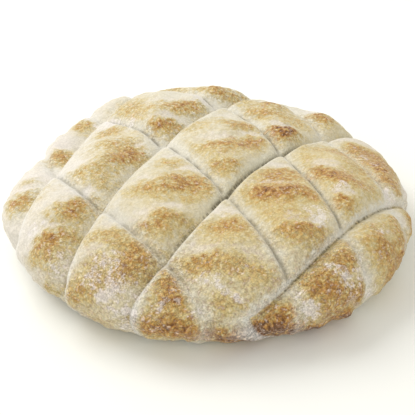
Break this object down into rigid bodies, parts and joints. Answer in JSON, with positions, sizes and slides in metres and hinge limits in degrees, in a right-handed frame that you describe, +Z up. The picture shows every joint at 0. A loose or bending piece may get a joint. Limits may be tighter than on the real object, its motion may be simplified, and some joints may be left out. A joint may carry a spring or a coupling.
{
  "type": "flatbread",
  "caption": "Round domed flatbread, scored in a lattice of bowed cuts, with pillows of browned, floury crust between them and a flat base to lie on",
  "frame": {"origin": "centre of the bounding box in plan, on the flat base", "axes": "+Z up out of the base through the crown, +Y to the back as pictured, +X to the right"},
  "size_m": [0.2008, 0.2008, 0.0468],
  "materials": {
    "crust": "matte, floury, browned on the crests"
  },
  "bodies": {
    "root": {"bread": "crust"}
  },
  "joints": []
}
